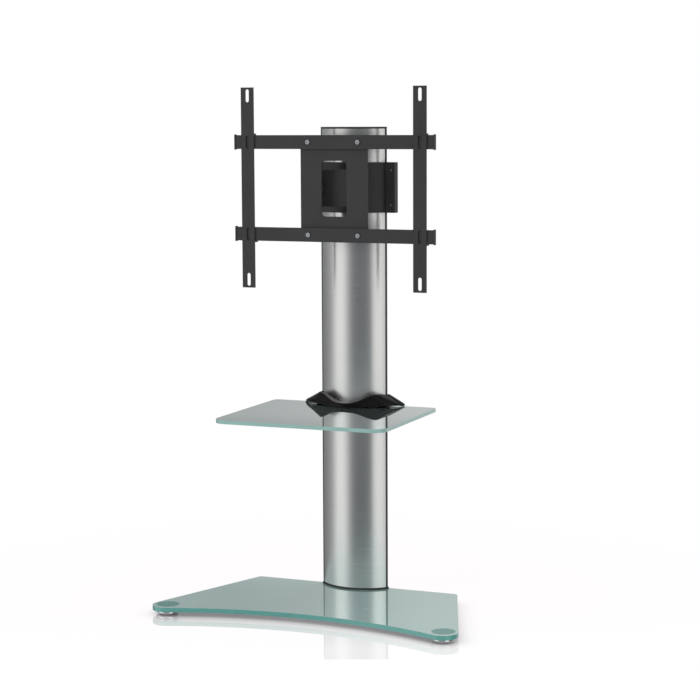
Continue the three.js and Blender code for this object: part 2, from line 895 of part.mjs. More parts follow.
function carriage() {
  const ring = clampRing(-carriageHeight * half, carriageHeight * half, carriageRises);
  const rootY = arcY(lugRootWidth * half, slideGap + ringWall * half);
  const nose = arc(0, swivelY, lugRadius, -quarterTurn, 0, filletSteps).slice(1);
  const lugOutline = mirrored([
    [0, swivelY - lugRadius],
    ...nose,
    [lugRootWidth * half, rootY],
  ]);
  const lugs = [[lugBottom, lugTop], [-lugTop, -lugBottom]].map(([low, high]) => (
    slab(lugOutline, low, high)
  ));
  const reach = lugTop + overrun;
  const pinBore = slab(circle(0, swivelY, swivelPinRadius + seatGap, medium), -reach, reach);
  const columnBore = slab(wrap(slideGap), -carriageHeight, carriageHeight);
  return { front: without(joined(ring.front, ...lugs), pinBore, columnBore), rear: ring.rear };
}

function swivelPin() {
  return turned([
    [0, -lugTop - pinNutHeight - pinEnd],
    [swivelPinRadius, -lugTop - pinNutHeight - pinEnd],
    [swivelPinRadius, lugTop],
    [pinHeadRadius, lugTop],
    [pinHeadRadius, lugTop + pinHeadHeight],
    [0, lugTop + pinHeadHeight],
  ], medium);
}

function swivelNut() {
  const bottom = -lugTop - pinNutHeight;
  const nut = slab(polygon(0, 0, pinNutRadius, hex), bottom, -lugTop);
  const bore = circle(0, 0, swivelPinRadius + seatGap, medium);
  return without(nut, slab(bore, bottom - overrun, overrun - lugTop));
}

function swivelWashers() {
  return [[washerBottom, lugBottom], [-lugBottom, -washerBottom]].map(([low, high]) => without(
    slab(circle(0, 0, knuckleRadius, medium), low, high),
    slab(circle(0, 0, swivelPinRadius + seatGap, medium), low - overrun, high + overrun),
  ));
}

// The yoke turns on the swivel pin. Places in it are measured from the pin's axis.
const yokeRear = -lugRadius - yokeGap;
const yokeFront = yokeRear - yokeThickness;
const tiltY = yokeFront - tiltReach;
const outerEarInside = yokeWidth * half - tiltEarThickness;
const innerEarOutside = outerEarInside - tiltWasherThickness - washerPlay / half;
const innerEarInside = innerEarOutside - innerEarThickness;

function ear(rootY, rootHeight, radius, direction) {
  const nose = arc(tiltY, 0, radius, -quarterTurn, quarterTurn, coarse)
    .map(([y, z]) => [tiltY + direction * (y - tiltY), z]);
  return [...nose, [rootY, rootHeight * half], [rootY, -rootHeight * half]];
}

function pair(make) {
  return [-1, 1].map((sign) => make(sign));
}

function earBody(outline, inside, outside, sign) {
  return sign > 0 ? across(outline, inside, outside) : across(outline, -outside, -inside);
}

function yoke() {
  const knuckle = slab(circle(0, 0, knuckleRadius, medium), -knuckleTop, knuckleTop);
  const web = slab(rectangle(0, yokeRear * half, yokeWebWidth, -yokeRear), -knuckleTop, knuckleTop);
  const plate = through(rectangle(0, 0, yokeWidth, yokeHeight, yokeRadius), yokeFront, yokeRear);
  const outline = ear(yokeFront + yokeThickness * half, tiltEarRoot, tiltEarRadius, -1);
  const ears = pair((sign) => earBody(outline, outerEarInside, yokeWidth * half, sign));
  const reach = knuckleTop + overrun;
  const pinBore = slab(circle(0, 0, swivelPinRadius + seatGap, medium), -reach, reach);
  const boltBore = across(circle(tiltY, 0, tiltBoltRadius + seatGap, coarse), -yokeWidth, yokeWidth);
  return without(joined(knuckle, web, plate, ...ears), pinBore, boltBore);
}

const tiltHeadSeat = yokeWidth * half + washerPlay;

function tiltBolts() {
  const tipEnd = innerEarInside - tiltBoltEnd;
  return pair((sign) => joined(
    earBody(circle(tiltY, 0, tiltBoltRadius, coarse), tipEnd, tiltHeadSeat, sign),
    earBody(circle(tiltY, 0, tiltHeadRadius, coarse), tiltHeadSeat, tiltHeadSeat + tiltHeadHeight, sign),
  ));
}

function tiltWashers() {
  const inside = outerEarInside - tiltWasherThickness;
  return pair((sign) => without(
    earBody(circle(tiltY, 0, tiltWasherRadius, coarse), inside, outerEarInside, sign),
    earBody(circle(tiltY, 0, tiltBoltRadius + seatGap, coarse), 0, yokeWidth, sign),
  ));
}

const tiltPlateRear = tiltY - tiltEarRadius - tiltPlateGap;
const tiltPlateFront = tiltPlateRear - tiltPlateThickness;
const railFront = tiltPlateFront - railThickness;
const railZ = railSpacing * half;

function tiltPlate() {
  const plate = through(
    rectangle(0, 0, tiltPlateWidth, tiltPlateHeight, tiltPlateRadius),
    tiltPlateFront,
    tiltPlateRear,
  );
  const outline = ear(tiltPlateRear - tiltPlateThickness * half, innerEarRoot, innerEarRadius, 1);
  const ears = pair((sign) => earBody(outline, innerEarInside, innerEarOutside, sign));
  const window = through(
    rectangle(0, 0, tiltWindowWidth, tiltWindowHeight, tiltPlateRadius),
    tiltPlateFront - overrun,
    tiltPlateRear + overrun,
  );
  const boltBore = across(circle(tiltY, 0, tiltBoltRadius + seatGap, coarse), -yokeWidth, yokeWidth);
  return without(joined(plate, ...ears), window, boltBore, ...railBoltBores());
}

const railBoltX = railBoltSpacing * half;
const railBoltPlaces = [-railBoltX, railBoltX].flatMap((x) => [[x, -railZ], [x, railZ]]);

function railBoltBores() {
  return railBoltPlaces.map(([x, z]) => through(
    circle(x, z, railBoltRadius + seatGap, coarse),
    railFront - overrun,
    tiltPlateRear + overrun,
  ));
}

function rail(z) {
  const bar = through(rectangle(0, z, railLength, railHeight), railFront, tiltPlateFront);
  const slotX = (railLength - railCapTongue) * half;
  const slotHeight = railCapTongueHeight + slideGap / half;
  const slotFront = railFront + (railThickness - railCapTongueThickness) * half - slideGap;
  const slotDepth = railCapTongueThickness + slideGap / half;
  const slots = pair((sign) => through(
    rectangle(sign * slotX, z, railCapTongue + overrun, slotHeight),
    slotFront,
    slotFront + slotDepth,
  ));
  return without(bar, ...slots, ...railBoltBores());
}

function railCaps() {
  const lidX = (railLength + railCapThickness) * half;
  const lidHeight = railHeight + railCapRim / half;
  const tongueX = (railLength - railCapTongue) * half + seatGap;
  const tongueFront = railFront + (railThickness - railCapTongueThickness) * half;
  return [-railZ, railZ].flatMap((z) => pair((sign) => joined(
    through(
      rectangle(sign * lidX, z, railCapThickness, lidHeight),
      railFront - railCapRim,
      tiltPlateFront + railCapRim,
    ),
    through(
      rectangle(sign * tongueX, z, railCapTongue - seatGap, railCapTongueHeight),
      tongueFront,
      tongueFront + railCapTongueThickness,
    ),
  )));
}

function railBolts() {
  return railBoltPlaces.map(([x, z]) => joined(
    through(circle(x, z, railBoltRadius, coarse), railFront, tiltPlateRear + railBoltEnd),
    through(circle(x, z, railHeadRadius, coarse), railFront - railHeadHeight, railFront),
  ));
}

// An arm hooks over the upper rail, and a lip with a lock screw holds it under the lower one
const armRear = railFront - slideGap;
const armFront = armRear - armThickness;
const hookFront = tiltPlateFront + slideGap;
const hookRear = hookFront + armThickness;
const hookTop = railZ + railHeight * half + slideGap + armThickness;
const hookInside = hookTop - armThickness;
const lockY = tiltPlateFront + slideGap + lockRadius;
const lipTop = -railZ - railHeight * half - slideGap;
const lipBottom = lipTop - armThickness;
const lipRear = lockY + lockRadius + lockMargin;

function arm() {
  const top = armHeight * half;
  const profile = [
    [armFront, -top],
    [armRear, -top],
    [armRear, lipBottom],
    [lipRear, lipBottom],
    [lipRear, lipTop],
    [armRear, lipTop],
    [armRear, hookInside],
    [hookFront, hookInside],
    [hookFront, hookInside - armHookDrop],
    [hookRear, hookInside - armHookDrop],
    [hookRear, hookTop],
    [armRear, hookTop],
    [armRear, top],
    [armFront, top],
  ];
  const bar = across(profile, -armWidth * half, armWidth * half);
  const slots = [1, vesaInnerShare].flatMap((share) => pair((sign) => through(
    rectangle(0, sign * share * vesaPitch, vesaSlotWidth, vesaSlotHeight, vesaSlotWidth * half - seatGap),
    armFront - overrun,
    armRear + overrun,
  )));
  const lockHole = circle(0, lockY, lockRadius + seatGap, coarse);
  return without(bar, ...slots, slab(lockHole, lipBottom - overrun, lipTop + overrun));
}

function armLock() {
  const shank = slab(circle(0, lockY, lockRadius, coarse), lipBottom, lipTop + slideGap + lockReach);
  const knob = slab(circle(0, lockY, lockKnobRadius, medium), lipBottom - lockKnobHeight, lipBottom);
  return joined(shank, knob);
}

function armGroup(side, sign) {
  return groupAt(
    sign * armSpacing * half,
    0,
    0,
    piece(`arm_${side}`, arm(), blackSteel()),
    piece(`arm_lock_${side}`, armLock(), blackPlastic()),
  );
}

function head() {
  const clamp = carriage();
  return groupAt(
    0,
    0,
    mountHeight,
    piece('carriage', clamp.front, blackSteel()),
    piece('carriage_clamp', clamp.rear, blackSteel()),
    ...pieces('carriage_screw', clampScrews(carriageRises), zinc),
    groupAt(
      0,
      swivelY,
      0,
      piece('swivel_pin', swivelPin(), zinc()),
      piece('swivel_nut', swivelNut(), zinc()),
      ...pieces('swivel_washer', swivelWashers(), blackPlastic),
      piece('yoke', yoke(), blackSteel()),
      ...pieces('tilt_bolt', tiltBolts(), zinc),
      ...pieces('tilt_washer', tiltWashers(), blackPlastic),
      piece('tilt_plate', tiltPlate(), blackSteel()),
      piece('rail_upper', rail(railZ), blackSteel()),
      piece('rail_lower', rail(-railZ), blackSteel()),
      ...pieces('rail_cap', railCaps(), blackPlastic),
      ...pieces('rail_bolt', railBolts(), zinc),
      armGroup('left', -1),
      armGroup('right', 1),
    ),
  );
}

const stand = new THREE.Group();
stand.add(
  piece('base_glass', baseGlass(), glass()),
  frontFoot('left', -1),
  frontFoot('right', 1),
  rearFoot('left', -1),
  rearFoot('right', 1),
  piece('under_plate', underSheet(underBottom, underBottom + underPlateThickness), blackSteel()),
  piece('under_gasket', underSheet(glassBottom - underGasketThickness, glassBottom), rubber()),
  ...pieces('base_screw', baseScrews(), zinc),
  piece('column_gasket', columnGasket(), rubber()),
  piece('column', column(), silver()),
  piece('cable_cover', cableCover(), blackPlastic()),
  piece('column_cap', columnCap(), blackPlastic()),
  shelf(),
  head(),
);

export default stand;
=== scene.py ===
import json
from math import cos, pi, radians, sin

import bmesh
import bpy
from mathutils import Matrix, Vector

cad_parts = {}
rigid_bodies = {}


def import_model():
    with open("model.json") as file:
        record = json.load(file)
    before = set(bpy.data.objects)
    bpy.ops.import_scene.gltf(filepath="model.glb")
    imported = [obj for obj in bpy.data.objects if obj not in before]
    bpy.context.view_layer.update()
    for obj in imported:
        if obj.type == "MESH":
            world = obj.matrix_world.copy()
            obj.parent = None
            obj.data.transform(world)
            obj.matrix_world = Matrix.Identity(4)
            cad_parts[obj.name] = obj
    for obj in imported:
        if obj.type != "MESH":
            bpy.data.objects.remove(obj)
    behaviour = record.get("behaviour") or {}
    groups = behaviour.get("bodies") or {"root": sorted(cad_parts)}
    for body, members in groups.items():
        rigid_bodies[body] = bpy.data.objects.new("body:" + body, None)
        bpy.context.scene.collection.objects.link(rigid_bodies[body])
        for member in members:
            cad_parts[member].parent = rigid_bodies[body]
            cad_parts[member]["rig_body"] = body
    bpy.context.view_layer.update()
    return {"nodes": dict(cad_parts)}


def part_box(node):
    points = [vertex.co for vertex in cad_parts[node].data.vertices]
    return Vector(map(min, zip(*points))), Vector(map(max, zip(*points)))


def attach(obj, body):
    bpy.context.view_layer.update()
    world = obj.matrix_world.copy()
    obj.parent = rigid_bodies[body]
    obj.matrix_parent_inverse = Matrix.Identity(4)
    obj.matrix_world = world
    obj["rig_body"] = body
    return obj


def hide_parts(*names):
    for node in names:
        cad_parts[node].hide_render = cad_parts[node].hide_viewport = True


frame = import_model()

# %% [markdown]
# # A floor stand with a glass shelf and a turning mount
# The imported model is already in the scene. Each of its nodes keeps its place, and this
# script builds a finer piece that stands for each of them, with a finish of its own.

MM = 0.001
print("packed nodes:", len(frame["nodes"]))

# %% [markdown]
# ## Writing shader maths as Python
# A node tree is quicker to read as a sum than as a list of links. `Wire` holds one
# output socket. Adding, subtracting or multiplying wires adds the Math node for it, and
# the reflected forms let a plain number stand on the left, as in `1 - mask`.

# %% A wire between nodes
class Wire:
    """One output socket of a finish, which Python's operators can do sums on."""

    def __init__(self, finish, socket):
        self.finish = finish
        self.socket = socket

    def maths(self, operation, first, second=0.0):
        settings = {"operation": operation}
        return self.finish.node("ShaderNodeMath", settings, {0: first, 1: second})

    def __add__(self, other):
        return self.maths("ADD", self, other)

    def __sub__(self, other):
        return self.maths("SUBTRACT", self, other)

    def __rsub__(self, other):
        return self.maths("SUBTRACT", other, self)

    def __mul__(self, other):
        return self.maths("MULTIPLY", self, other)

    def __rmul__(self, other):
        return self.maths("MULTIPLY", other, self)

    def __abs__(self):
        return self.maths("ABSOLUTE", self)

    def above(self, edge):
        return self.maths("GREATER_THAN", self, edge)

    def larger(self, other):
        return self.maths("MAXIMUM", self, other)


# %% [markdown]
# `Finish` holds one material. Its `node` method is the only place where a node is made:
# it takes the node's type, its settings, which are set first, and the values or wires
# that go into its sockets. A ramp's stops are a setting too.

# %% A finish and its nodes
class Finish:
    """A material that is built from nodes."""

    NOISE_SPAN = (0.3, 0.7)

    def __init__(self, name, owner=None):
        self.material = owner or bpy.data.materials.new(name)
        self.material.use_nodes = True
        self.tree = self.material.node_tree
        self.tree.nodes.clear()

    def node(self, kind, settings=None, values=None, out=0):
        made = self.tree.nodes.new(kind)
        for name, value in (settings or {}).items():
            if name == "stops":
                self.fill_ramp(made.color_ramp, value)
            else:
                setattr(made, name, value)
        for name, value in (values or {}).items():
            if isinstance(value, Wire):
                self.tree.links.new(value.socket, made.inputs[name])
            else:
                made.inputs[name].default_value = value
        return Wire(self, made.outputs[out]) if made.outputs else made

    @staticmethod
    def fill_ramp(ramp, stops):
        while len(ramp.elements) < len(stops):
            ramp.elements.new(1.0)
        for element, (place, level) in zip(ramp.elements, stops):
            element.position = place
            element.color = (level, level, level, 1.0)

    def place(self):
        return self.node("ShaderNodeTexCoord", out="Object")

    def axis(self, vector, letter):
        return self.node("ShaderNodeSeparateXYZ", None, {"Vector": vector}, letter)

    def stretched(self, scale):
        return self.node("ShaderNodeMapping", None, {"Vector": self.place(), "Scale": scale})

    def noise(self, vector, scale, detail=3.0, roughness=0.55):
        values = {"Vector": vector, "Scale": scale, "Detail": detail, "Roughness": roughness}
        return self.node("ShaderNodeTexNoise", None, values, "Fac")

    def ramp(self, factor, stops):
        return self.node("ShaderNodeValToRGB", {"stops": stops}, {"Fac": factor}, "Color")

    def range(self, value, low, high, to_low, to_high):
        values = {"Value": value, "From Min": low, "From Max": high}
        values.update({"To Min": to_low, "To Max": to_high})
        return self.node("ShaderNodeMapRange", {"clamp": True}, values)

    def spread(self, noise, low, high):
        """Stretch the span that a noise mostly keeps to over another range."""
        return self.range(noise, *self.NOISE_SPAN, low, high)

    def slant(self):
        """0 where the surface faces the eye and near 1 where it is seen edge on."""
        return self.node("ShaderNodeLayerWeight", None, {"Blend": 0.5}, "Facing")

    def blend(self, factor, first, second):
        values = {0: factor, 6: self.rgba(first), 7: self.rgba(second)}
        return self.node("ShaderNodeMix", {"data_type": "RGBA"}, values, 2)

    @staticmethod
    def rgba(colour):
        return colour if isinstance(colour, Wire) else (*colour[:3], 1.0)

    def bump(self, height, strength, distance):
        values = {"Height": height, "Strength": strength, "Distance": distance}
        return self.node("ShaderNodeBump", None, values)

    def principled(self, base_color, **values):
        named = {name.replace("_", " ").title().replace("Ior", "IOR"): value
                 for name, value in values.items()}
        named["Base Color"] = self.rgba(base_color)
        return self.node("ShaderNodeBsdfPrincipled", None, named)

    def mixed(self, factor, first, second):
        return self.node("ShaderNodeMixShader", None, {0: factor, 1: first, 2: second})

    def finish(self, shader):
        self.node("ShaderNodeOutputMaterial", None, {"Surface": shader})
        return self.material


finishes = {}
print("ready to write finishes")

# %% [markdown]
# ## Brushed aluminium
# The column is an extrusion that was brushed round its girth and anodised. An image of
# brushed metal could be wrapped round it, but a noise that is squeezed along Z draws the
# level scratches at any size: one layer is fine and one is coarser. They change the
# roughness most and the colour a little. Level scratches spread a highlight up and down,
# so the shader is anisotropic too, which keeps the upright bands clear to the very foot.

# %% Brushed aluminium
FINE_SQUEEZE, COARSE_SQUEEZE = (9.0, 9.0, 1500.0), (3.0, 3.0, 260.0)
COARSE_SHARE, CLOUD_SHARE, CLOUD_SIZE = 0.15, 0.2, 5.0
METAL_DARK, METAL_PALE = (0.70, 0.70, 0.70), (0.82, 0.82, 0.82)
METAL_ROUGHNESS = (0.22, 0.28)
SPREAD_UP_AND_DOWN, QUARTER_TURN = 0.75, 0.25
SCRATCH_BUMP, SCRATCH_HEIGHT = 0.005, 0.2 * MM


def brushed_aluminium():
    f = Finish("brushed_aluminium")
    fine = f.noise(f.stretched(FINE_SQUEEZE), 1.0, 3.0, 0.7)
    coarse = f.noise(f.stretched(COARSE_SQUEEZE), 1.0, 2.0, 0.5)
    cloud = f.noise(f.place(), CLOUD_SIZE, 2.0)
    brushing = fine * (1 - COARSE_SHARE) + coarse * COARSE_SHARE
    dulling = brushing * (1 - CLOUD_SHARE) + cloud * CLOUD_SHARE
    shader = f.principled(
        f.blend(brushing, METAL_DARK, METAL_PALE), metallic=1.0,
        roughness=f.spread(dulling, *METAL_ROUGHNESS), anisotropic=SPREAD_UP_AND_DOWN,
        anisotropic_rotation=QUARTER_TURN,
        normal=f.bump(brushing, SCRATCH_BUMP, SCRATCH_HEIGHT),
    )
    return f.finish(shader)


finishes["brushed_aluminium"] = brushed_aluminium()
print("finish:", finishes["brushed_aluminium"].name)

# %% [markdown]
# ## Satin glass
# The glass is tinted and etched underneath, with a polished top. A clear glass shader
# would show the plate and screws below it, which the etching hides. So the body is a pale
# sea green that scatters light, and a mirror lies over it that grows as the eye comes
# down to the surface, as it does on real glass. Along the ground edge light has
# come a long way through the sheet, so the tint is deeper: the edge is found from the
# direction of the face, and so it follows any outline. The underside is a neutral grey.
# What is bonded to the underside shows through as a darker round spot.

# %% Satin glass
GLASS_TOP, GLASS_EDGE = (0.38, 0.62, 0.58), (0.075, 0.245, 0.22)
SHELF_TOP, SHELF_EDGE = (0.40, 0.54, 0.52), (0.19, 0.32, 0.30)
GLASS_UNDER = (0.52, 0.52, 0.55)
EDGE_TILT, FACE_TILT = 0.45, 0.75
CLOUD_LIFT, GLASS_CLOUD, GLASS_GRAIN = 1.1, 7.0, 900.0
FOOT_SPOT, SPOT_DULLING, SPOT_BLUR = (0.02, 0.19, 0.165), 0.55, 0.8 * MM
ETCHED_ROUGHNESS, GLASS_IOR = (0.24, 0.34), 1.5
MIRROR_COLOUR, MIRROR_ROUGHNESS = (0.93, 0.985, 0.975, 1.0), 0.015
SHINE_SLANT, LEAST_SHINE, EDGE_DULLING = (0.3, 0.8), 0.06, 0.5
BASE_POLISH, SHELF_POLISH = 0.76, 0.96


def satin_glass(name, top, edge, spots, polish):
    f = Finish(name)
    facing_up = f.axis(f.node("ShaderNodeNewGeometry", out="Normal"), "Z")
    flank = f.range(abs(facing_up), EDGE_TILT, FACE_TILT, 1.0, 0.0)
    lighter = [value * CLOUD_LIFT for value in top]
    colour = f.blend(f.noise(f.place(), GLASS_CLOUD, 2.0), top, lighter)
    spotted = 0.0
    flat = f.node("ShaderNodeVectorMath", {"operation": "MULTIPLY"},
                  {0: f.place(), 1: (1.0, 1.0, 0.0)})
    for x, y, radius in spots:
        away = f.node("ShaderNodeVectorMath", {"operation": "DISTANCE"},
                      {0: flat, 1: (x, y, 0.0)}, "Value")
        spotted = f.range(away, radius - SPOT_BLUR, radius, 1.0, 0.0) + spotted
    colour = f.blend(spotted, colour, FOOT_SPOT)
    colour = f.blend(flank, colour, edge)
    underneath = f.range(facing_up, -FACE_TILT, -EDGE_TILT, 1.0, 0.0)
    colour = f.blend(underneath, colour, GLASS_UNDER)
    grain = f.noise(f.place(), GLASS_GRAIN, 2.0)
    body = f.principled(colour, ior=GLASS_IOR, roughness=f.spread(grain, *ETCHED_ROUGHNESS))
    mirror = f.node("ShaderNodeBsdfGlossy", None,
                    {"Color": MIRROR_COLOUR, "Roughness": MIRROR_ROUGHNESS})
    shine = f.range(f.slant(), *SHINE_SLANT, LEAST_SHINE, polish) * (1.0 - flank * EDGE_DULLING)
    return f.finish(f.mixed(shine * (1.0 - SPOT_DULLING * spotted), body, mirror))


plates = [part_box("front_foot_plate_" + side) for side in ("left", "right")]
foot_spots = [((low[0] + high[0]) / 2, (low[1] + high[1]) / 2, (high[0] - low[0]) / 2)
              for low, high in plates]
finishes["base_glass"] = satin_glass(
    "base_glass", GLASS_TOP, GLASS_EDGE, foot_spots, BASE_POLISH)
finishes["shelf_glass"] = satin_glass("shelf_glass", SHELF_TOP, SHELF_EDGE, [], SHELF_POLISH)
print("spots under the base glass, mm:", [[round(v / MM, 1) for v in s] for s in foot_spots])

# %% [markdown]
# ## Bright metals
# The foot bowls are chromed: nearly a mirror, with the faintest wipe marks. The screws,
# nut and foot plates are zinc plated, which is duller, a little blue, and blotchy. Both
# come from one function, because only the numbers differ.

# %% Chrome and zinc
WIPE_SQUEEZE, WIPE_SHARE, WIPE_HEIGHT = (40.0, 40.0, 400.0), 0.4, 0.2 * MM


def plated(name, dark, light, low, high, scale, bump):
    f = Finish(name)
    blotch = f.noise(f.place(), scale, 3.0)
    wipe = f.noise(f.stretched(WIPE_SQUEEZE), 1.0, 2.0)
    both = blotch * (1 - WIPE_SHARE) + wipe * WIPE_SHARE
    shader = f.principled(
        f.blend(blotch, dark, light), metallic=1.0, roughness=f.spread(both, low, high),
        normal=f.bump(both, bump, WIPE_HEIGHT),
    )
    return f.finish(shader)


finishes["chrome"] = plated(
    "chrome", (0.80, 0.81, 0.83), (0.91, 0.92, 0.94), 0.03, 0.07, 60.0, 0.012)
finishes["zinc"] = plated(
    "zinc", (0.50, 0.53, 0.57), (0.68, 0.70, 0.73), 0.22, 0.4, 220.0, 0.08)
print("finishes:", sorted(finishes))

# %% [markdown]
# ## Black parts
# Four blacks differ in gloss and grain. The collar is moulded and polished. The mounting
# head is powder coated steel, which has a fine pebbled skin. The cable cover and caps are
# moulded with a fine spark-eroded grain. Rubber is dull and a little dusty. One function
# draws them all: a fine noise for the skin and a slow one for the cloudiness.

# %% Black finishes
SLOW_CLOUD, SKIN_IN_COLOUR, SKIN_IN_ROUGHNESS, SKIN_HEIGHT = 14.0, 0.3, 0.5, 0.3 * MM


def black(name, dark, light, low, high, grain, bump, specular):
    f = Finish(name)
    skin = f.noise(f.place(), grain, 3.0, 0.6)
    cloud = f.noise(f.place(), SLOW_CLOUD, 3.0)
    tone = cloud * (1 - SKIN_IN_COLOUR) + skin * SKIN_IN_COLOUR
    dulling = cloud * (1 - SKIN_IN_ROUGHNESS) + skin * SKIN_IN_ROUGHNESS
    shader = f.principled(
        f.blend(tone, dark, light), specular_ior_level=specular,
        roughness=f.spread(dulling, low, high), normal=f.bump(skin, bump, SKIN_HEIGHT),
    )
    return f.finish(shader)


BLACKS = {
    "gloss_black": (
        (0.002, 0.002, 0.002), (0.005, 0.0045, 0.005), 0.10, 0.18, 130.0, 0.012, 0.16),
    "black_steel": (
        (0.014, 0.014, 0.015), (0.028, 0.028, 0.030), 0.42, 0.58, 900.0, 0.35, 0.5),
    "black_plastic": (
        (0.016, 0.016, 0.017), (0.032, 0.032, 0.034), 0.40, 0.60, 1400.0, 0.22, 0.5),
    "rubber": (
        (0.018, 0.018, 0.018), (0.040, 0.039, 0.038), 0.75, 0.92, 600.0, 0.3, 0.4),
}
for name, values in BLACKS.items():
    finishes[name] = black(name, *values)
print("finishes:", sorted(finishes))

# %% [markdown]
# ## Taking a node's shape as a start
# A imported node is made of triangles. In a copy of it, corners that touch are joined, and
# triangles that lie in one plane are made one face again. Real sheet metal, glass and
# mouldings have no knife edges, so every sharp edge then gets a narrow bevel, which is
# what catches a thin line of light.

# %% Copy a node
WELD = 0.01 * MM
SHARP, ALMOST_FLAT = radians(32), radians(0.4)
FLAT_SEGMENTS, ROUND_SEGMENTS, RIM_SEGMENTS = 2, 3, 4


def cad_copy(node):
    mesh = bmesh.new()
    mesh.from_mesh(frame["nodes"][node].data)
    bmesh.ops.remove_doubles(mesh, verts=mesh.verts, dist=WELD)
    bmesh.ops.dissolve_limit(
        mesh, angle_limit=ALMOST_FLAT, verts=mesh.verts, edges=mesh.edges)
    return mesh


def sharp_edges(mesh, angle=SHARP):
    return [e for e in mesh.edges if len(e.link_faces) == 2 and e.calc_face_angle() > angle]


def soften(mesh, edges, width, segments=FLAT_SEGMENTS):
    bmesh.ops.bevel(
        mesh, geom=edges, offset=width, offset_type="OFFSET", segments=segments,
        profile=0.5, affect="EDGES", clamp_overlap=True, material=-1)


# %% [markdown]
# `settle` turns a finished bmesh into a piece of the object: it gets its finish, rides on
# the body of the node that it stands for, and hides that node. Smooth shading is
# kept off the sharp edges, and the flat faces keep their own direction by weight.

# %% Settle a piece
CREASE, FACE_WEIGHT = radians(38), 80


def settle(mesh, node, finish):
    data = bpy.data.meshes.new(node + "_shape")
    mesh.to_mesh(data)
    mesh.free()
    data.shade_smooth()
    data.set_sharp_from_angle(angle=CREASE)
    piece = bpy.data.objects.new(node + "_shape", data)
    bpy.context.scene.collection.objects.link(piece)
    data.materials.append(finishes[finish])
    weigh = piece.modifiers.new("flat_faces", "WEIGHTED_NORMAL")
    weigh.keep_sharp = True
    weigh.weight = FACE_WEIGHT
    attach(piece, frame["nodes"][node]["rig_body"])
    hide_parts(node)
    return piece


def dress(node, finish, width, segments=ROUND_SEGMENTS):
    mesh = cad_copy(node)
    soften(mesh, sharp_edges(mesh), width * MM, segments)
    settle(mesh, node, finish)


# %% [markdown]
# ## The two sheets of glass
# Both are cut from flat sheet, and their edges are ground round and polished. The outline
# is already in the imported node, so only the rim is left to do. A Bevel modifier would
# do it, but a bevel in the mesh can be kept to the top and bottom rims, which is where
# the grinder runs. Four segments make the thin bright line on the rim soft.

# %% Glass base and shelf
GROUND = {"base_glass": 2.2, "shelf_glass": 1.6}
for node, grind in GROUND.items():
    sheet = cad_copy(node)
    rims = [e for e in sharp_edges(sheet) if abs(e.verts[0].co.z - e.verts[1].co.z) < WELD]
    soften(sheet, rims, grind * MM, RIM_SEGMENTS)
    settle(sheet, node, node)
    print(node, "rim edges:", len(rims))

# %% [markdown]
# ## The column
# The column is one aluminium extrusion, sawn square at both ends. Its bowed front could be
# made with a curve and an array of segments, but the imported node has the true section
# with its inner webs, so the copy only loses the knife edges. Behind it a moulded cover
# with three windows hides the cable duct, a cap closes the top, and thin rubber lies
# between the metal and the glass.

# %% Column and its trim
TRIM = {
    "column": ("brushed_aluminium", 0.25),
    "cable_cover": ("black_plastic", 0.9),
    "column_cap": ("black_plastic", 1.0),
    "column_gasket": ("rubber", 0.5),
    "under_plate": ("black_steel", 0.6),
    "under_gasket": ("rubber", 0.1),
}
for node, (finish, width) in TRIM.items():
    dress(node, finish, width)
print("trim:", list(TRIM))

# %% [markdown]
# ## Round parts
# Feet, washers, plates and screws are turned parts. A lathe is the natural way to make
# them: half of the outline is drawn once as points of radius and height, and `spin` takes
# it round the axis. The full turn is closed with use_merge, and because a spin can come
# out inside out, the normals are worked out again at the end.

# %% A lathe
TURN_STEPS = 64


def turned(outline, centre, steps=TURN_STEPS, axis="Z"):
    """Spin an outline of (radius, height) round an upright line, then lay it on its axis."""
    mesh = bmesh.new()
    points = [mesh.verts.new((radius * MM, 0, height * MM)) for radius, height in outline]
    edges = [mesh.edges.new(pair) for pair in zip(points, points[1:])]
    if outline[0][0] > 0:
        edges.append(mesh.edges.new((points[-1], points[0])))
    bmesh.ops.spin(
        mesh, geom=points + edges, cent=(0, 0, 0), axis=(0, 0, 1), angle=2 * pi,
        steps=steps, use_merge=True)
    bmesh.ops.remove_doubles(mesh, verts=mesh.verts, dist=WELD)
    lay(mesh, axis, centre)
    bmesh.ops.recalc_face_normals(mesh, faces=mesh.faces)
    return mesh


LAID = {"Z": Matrix.Identity(3), "Y": Matrix.Rotation(radians(-90), 3, "X"),
        "X": Matrix.Rotation(radians(90), 3, "Y")}


def lay(mesh, axis, centre):
    bmesh.ops.rotate(mesh, verts=mesh.verts, cent=(0, 0, 0), matrix=LAID[axis])
    bmesh.ops.translate(mesh, verts=mesh.verts, vec=centre)


def middle(node, axis="Z"):
    """The middle of a node's box, but with nothing along its axis."""
    low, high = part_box(node)
    return [0.0 if name == axis else (low[i] + high[i]) / 2 for i, name in enumerate("XYZ")]


print("lathe ready")

# %% [markdown]
# ## Levelling feet
# A chromed bowl stands under each front tip, on a soft sole. It is pressed from sheet, so
# its flank is one even curve and its lip is rolled. The threaded boss of the plate that is
# bonded to the glass goes down into the bowl's hub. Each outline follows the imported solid,
# with points close together where it bends, so the mirror finish shows no flats.

